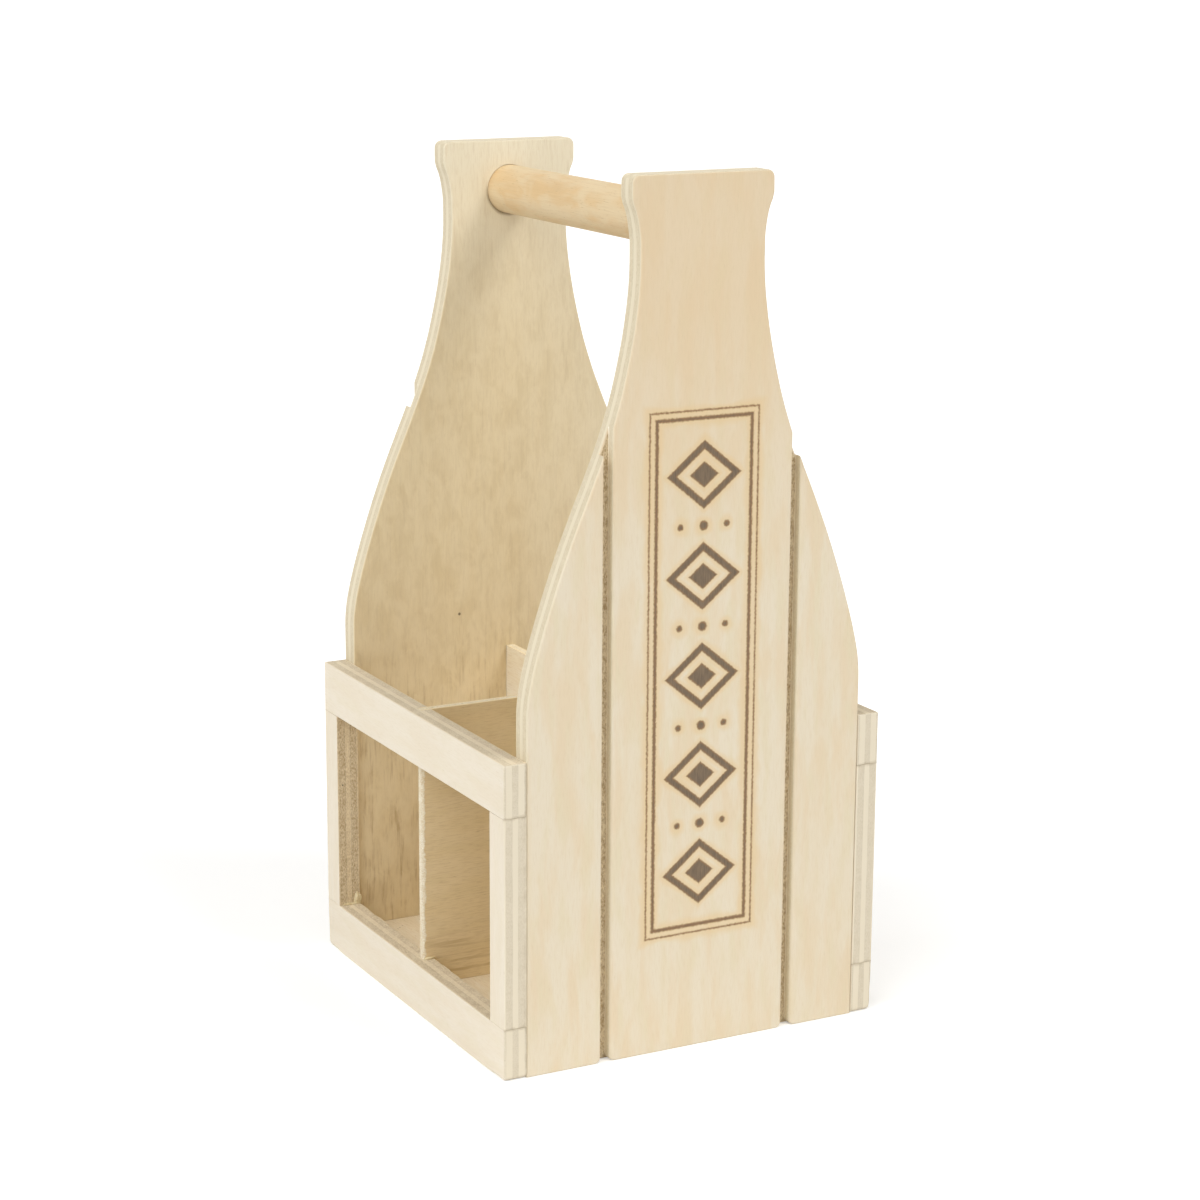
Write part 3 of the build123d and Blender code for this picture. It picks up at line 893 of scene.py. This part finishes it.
for side, sign in (("left", 1), ("right", -1)):
    place = placed((0, 0, sign, -sign * caddy_width / 2), (1, 0, 0, 0), (0, 1, 0, 0))
    # Each strip is cut from its own place in the wood's pattern
    seed = 40.0 if sign > 0 else 730.0
    top = strip(-outer_face, outer_face, window_high, side_height)
    bottom = strip(-outer_face, outer_face, 0.0, window_low, foot_corner, step=1.1)
    for level, outline, window, let_in, shift, raw, torn in (
        ("top", top, window_high, (window_high - 1, side_height + 1), (seed, 10.0), top_raw,
         lambda bm: None),
        ("bottom", bottom, window_low, (floor_top, window_low + 1), (seed + 250, 60.0), bottom_raw,
         ragged_rim),
    ):
        make_board(
            f"{side}_frame_{level}_rail", prism(outline, board, lambda p: rail_ease(p, window)),
            place, f"{side}_{level}_rail", frame_wood, "u", [housing(*let_in)],
            shift=shift, raw=raw, torn=torn,
        )
    for end, low in (("front", -outer_face), ("back", outer_face - stile_width)):
        outline = strip(low, low + stile_width, window_low, window_high)
        make_board(
            f"{side}_frame_{end}_stile", prism(outline, board, stile_ease),
            place, f"{side}_{end}_stile", frame_wood, "v",
            shift=(seed + 500 + low, 120.0 + low), raw=stile_raw,
        )


# Dividers
# Two thin sheets of raw three-ply, halved over each other where they cross, their ends let into
# the side frames and the end panels. Sawing left the veneer a little furry along the cut ends.
sheet = 4.0
divider_middle = floor_top + (side_height - floor_top) / 2
divider_end = caddy_width / 2 - board + housing_depth
long_end = caddy_depth / 2 - board + housing_depth
lap = sheet + 0.2

three_ply = {"thickness": sheet, "core_half": -1.0, "cross_half": 0.9}
raw_sheet = {
    "face": "#ECD6AD", "warm": "#EAD3A7", "straw": "#E8D2A6", "band": "#E1CC9F", "dash": "#C8AC7C",
    "pore": "#AE8F60", "edge": "#EAD9B4", "sawn": "#F5EDDA", "sawn_dust": "#DFCDA8",
    "end": "#F1E7D0", "end_dust": "#D8C7A2", "sawn_end": "#F5EDDA", "sawn_end_dust": "#DCCAA6",
    "glue": "#A38A5E",
}
# The long divider's sheet is the same wood, painted paler on its faces as painted light, for the light it
# catches from the left
painted_lit_sheet = {
    **raw_sheet,
    "face": "#F0E7D3", "warm": "#ECDFC5", "straw": "#EBDFC4", "band": "#E8D9B9", "dash": "#D2BB92",
}
sheet_grain = {"dashes": 0.5, "pores": 0.3, "bands": 0.2, "dash_size": (5.5, 0.5)}
cross_wood = sanded_plywood(
    "poplar_three_ply_raw", **three_ply, colours=raw_sheet, creased=(42.0, 56.0), **sheet_grain)
long_wood = sanded_plywood(
    "poplar_three_ply_raw_painted_lit", **three_ply, colours=painted_lit_sheet, **sheet_grain)


def notched(end, from_above):
    """The outline of a divider with its half slot, points close together up its sawn ends."""
    low, high, half = floor_top, side_height, lap / 2
    notch = ((half, high), (half, divider_middle), (-half, divider_middle), (-half, high))
    if not from_above:
        notch = ((-half, low), (-half, divider_middle), (half, divider_middle), (half, low))
    path = [(-end, low), (end, low), (end, high)] + list(notch) + [(-end, high)]
    if not from_above:
        path = [(-end, low)] + list(notch) + [(end, low), (end, high), (-end, high)]
    outline = []
    for p, q in zip(path, path[1:] + path[:1]):
        outline += spaced([p, q], 0.8 if p[0] == q[0] and abs(p[0]) == end else 5)[:-1]
    return outline


def sheet_ease(end):
    """Crisp edges all round, but wide broken ones up the sawn ends, for torn_ends to pull about."""
    def ease(p):
        between = floor_top + slack < p.y < side_height - slack
        return 0.7 if abs(p.x) > end - slack and between else 0.14
    return ease


def sawn_ends(end):
    """A divider is raw on its sawn ends and on a strip beside them."""
    def raw(middle, normal):
        between = floor_top + 1 < middle.y < side_height - 1
        return 1.0 if abs(middle.x) > end - 1.8 and between else 0.0
    return raw


def torn_ends(end):
    """Breaks the arris up each sawn end unevenly, half a millimetre to two, as torn veneer is."""
    torn_along, torn_deep = 0.95, 0.69

    def tear(bm):
        for v in bm.verts:
            near = min(v.co.z, sheet - v.co.z)
            if abs(v.co.x) > end - torn_along and near < torn_deep:
                side = 3.0 if v.co.z < sheet / 2 else 9.0
                fine = noise.noise(Vector((v.co.y / 0.8, side, v.co.x / 30)))
                slow = noise.noise(Vector((v.co.y / 5.0, side + 5, v.co.x / 30)))
                pull = max(0.0, 0.45 + 0.8 * fine + 0.5 * slow) * (1 - near / torn_deep)
                v.co.x -= math.copysign(pull, v.co.x)
    return tear


cross_place = placed((1, 0, 0, 0), (0, 0, 1, -sheet / 2), (0, 1, 0, 0))
long_place = placed((0, 0, 1, -sheet / 2), (1, 0, 0, 0), (0, 1, 0, 0))
for name, end, from_above, place, wood, shift in (
    ("cross_divider", divider_end, True, cross_place, cross_wood, (55.0, 20.0)),
    ("long_divider", long_end, False, long_place, long_wood, (420.0, 90.0)),
):
    make_board(
        f"{name}_sheet", prism(notched(end, from_above), sheet, sheet_ease(end)), place, name,
        wood, "u", shift=shift, wear=0.04, raw=sawn_ends(end),
        torn=torn_ends(end),
    )


# Floor board
# A plain rectangle of the same board, raw and a little rougher than the outside, glued in between
# the frames and the panels and flush with them underneath.
floor_wood = sanded_plywood(
    "poplar_plywood_raw_floor",
    **five_ply,
    colours={
        "face": "#EDE2CC", "warm": "#EBDCC0", "straw": "#E8DBBF", "band": "#E3D2B1", "dash": "#CDB690",
        "pore": "#9A8058", "edge": "#E6DABD", "sawn": "#D9C39B", "sawn_dust": "#A98C60",
        "end": "#D8C8A5", "end_dust": "#B69A6C", "sawn_end": "#D8C8A5", "sawn_end_dust": "#A98F64",
        "glue": "#8A7350",
    },
    dashes=0.5, pores=0.5, bands=0.4,
    # Three specks close together on its upper side
    spots=(
        ((674.3, 140.6, 0.0), 0.3, "#6E5A3C"),
        ((675.4, 142.0, 0.0), 0.35, "#6E5A3C"),
        ((677.0, 143.8, 0.0), 0.3, "#6E5A3C"),
    ),
)
floor_end = caddy_depth / 2 - board
floor_place = placed((0, 1, 0, 0), (1, 0, 0, 0), (0, 0, -1, floor_top))
make_board(
    "floor_sheet", prism(strip(-floor_end, floor_end, -panel_half, panel_half), board, lambda p: 0.15),
    floor_place, "floor_board", floor_wood, "u", shift=(610.0, 200.0), wear=0.06,
)


# Dried glue
# White wood glue pressed out of two joints on the left and left to dry: a bead and a thin film where
# the back stile stands on the bottom rail, and a thin bead along the foot of the crosswise divider.
dried_glue, tree, shader = blank("white_wood_glue_dried")
# It dries to a yellowish skin, smoother than the wood, with dust in it
at = add(tree, "Attribute", attribute_name="board")["Vector"]
skin = add(tree, "TexNoise", {"Vector": at, "Scale": 1 / 0.9, "Detail": 3.0})[0]
dust = add(tree, "MapRange", [skin, 0.4, 0.75], **smooth)[0]
colour = add(tree, "Mix", {0: dust, 6: linear("#E6D9B4"), 7: linear("#CDB98B")}, **rgba)[2]
rough = add(tree, "MapRange", {0: skin, 3: 0.35, 4: 0.6})[0]
lumps = add(tree, "Math", [skin, 0.0001], operation="MULTIPLY")[0]
surface(tree, shader, colour, rough, 1.47, lumps, 0.8)

for name, centre, radii in (
    ("glue_bead_stile", (-74.2, 73.0, 22.4), (1.7, 1.0, 3.4)),
    ("glue_film_stile", (-77.6, 72.9, 20.9), (3.4, 0.9, 0.6)),
    ("glue_bead_divider", (-75.2, -2.2, 20.9), (2.5, 0.8, 0.7)),
):
    bm = bmesh.new()
    bmesh.ops.create_icosphere(bm, subdivisions=4, radius=1)
    where = bm.verts.layers.float_vector.new("board")
    for v in bm.verts:
        lump = 1 + 0.35 * noise.noise(v.co * 1.6 + Vector(centre))
        v.co = Vector(centre) + Vector([v.co[i] * radii[i] * lump for i in range(3)])
        v[where] = v.co
    for face in bm.faces:
        face.smooth = True
    bm.transform(Matrix.Scale(0.001, 4))
    bead = held(name, bm)
    bead.data.materials.append(dried_glue)
    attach(bead, "root")


# Photographer's floor, light and camera
# A plain white floor that runs out of view, an even white room round it, a broad lamp high on the
# left, a smaller one in front on the right, and a weak one low in front. The camera stands where
# the photograph was taken.
floor_mesh = bmesh.new()
bmesh.ops.create_circle(floor_mesh, cap_ends=True, segments=96, radius=14.0)
ground = held("studio_floor", floor_mesh)
paper, tree, shader = blank("white_paper_sweep")
ground.data.materials.append(paper)
shader.inputs["Base Color"].default_value = linear("#F4F4F3")
shader.inputs["Roughness"].default_value = 0.9
shader.inputs["Specular IOR Level"].default_value = 0.1

world = bpy.data.worlds.new("studio")
bpy.context.scene.world = world
world.use_nodes = True
room_tree = world.node_tree
room = room_tree.nodes["Background"]
room.inputs["Color"].default_value = linear("#FCFDFF")
room.inputs["Strength"].default_value = 0.38

# The camera sees paper and room brighter than they light the wood, so that both show white
shown = []
for made in (tree, room_tree):
    ray = add(made, "LightPath")
    direct = add(made, "Math", [ray["Is Camera Ray"], ray["Is Glossy Ray"]], operation="MAXIMUM")[0]
    shown.append(add(made, "Math", [direct, ray["Is Transmission Ray"]], operation="MAXIMUM")[0])
lift = add(tree, "Math", [shown[0], 0.28], operation="MULTIPLY")[0]
glow = add(tree, "Emission", {"Color": (1, 1, 1, 1), "Strength": lift})[0]
both = add(tree, "AddShader", [shader.outputs[0], glow])[0]
tree.links.new(both, tree.nodes["Material Output"].inputs["Surface"])
white = add(room_tree, "Background", {"Color": (1, 1, 1, 1), "Strength": 1.0})[0]
either = add(room_tree, "MixShader", [shown[1], room.outputs[0], white])[0]
room_tree.links.new(either, room_tree.nodes["World Output"].inputs["Surface"])

for name, energy, spread, towards in (
    ("high_left", 1.75, 56, (-0.95, -0.25, 1.0)),
    ("soft_right", 1.05, 24, (0.45, -0.72, 0.85)),
    ("low_front", 0.22, 50, (0.0, -1.0, 0.25)),
):
    light = bpy.data.lights.new(name, "SUN")
    light.energy = energy
    light.angle = math.radians(spread)
    light.color = (1.0, 0.99, 0.97)
    lamp = in_scene(name, light)
    lamp.rotation_mode = "QUATERNION"
    lamp.rotation_quaternion = Vector(towards).to_track_quat("Z", "Y")

azimuth, elevation, roll = math.radians(-28.05), math.radians(13.50), math.radians(0.327)
level = Vector((math.cos(azimuth), math.sin(azimuth), 0))
out = math.cos(elevation)
back = Vector((math.sin(azimuth) * out, -math.cos(azimuth) * out, math.sin(elevation)))
rise = back.cross(level)
side_axis = level * math.cos(roll) + rise * math.sin(roll)
up_axis = rise * math.cos(roll) - level * math.sin(roll)
view = bpy.data.cameras.new("photo_camera")
view.lens, view.sensor_width = 87.52, 36.0
view.clip_start, view.clip_end = 0.05, 60.0
camera = in_scene("photo_camera", view)
camera.matrix_world = Matrix((side_axis, up_axis, back)).transposed().to_4x4()
camera.location = (-0.5371, -1.0136, 0.4364)
bpy.context.scene.camera = camera
bpy.context.scene.view_settings.view_transform = "Standard"
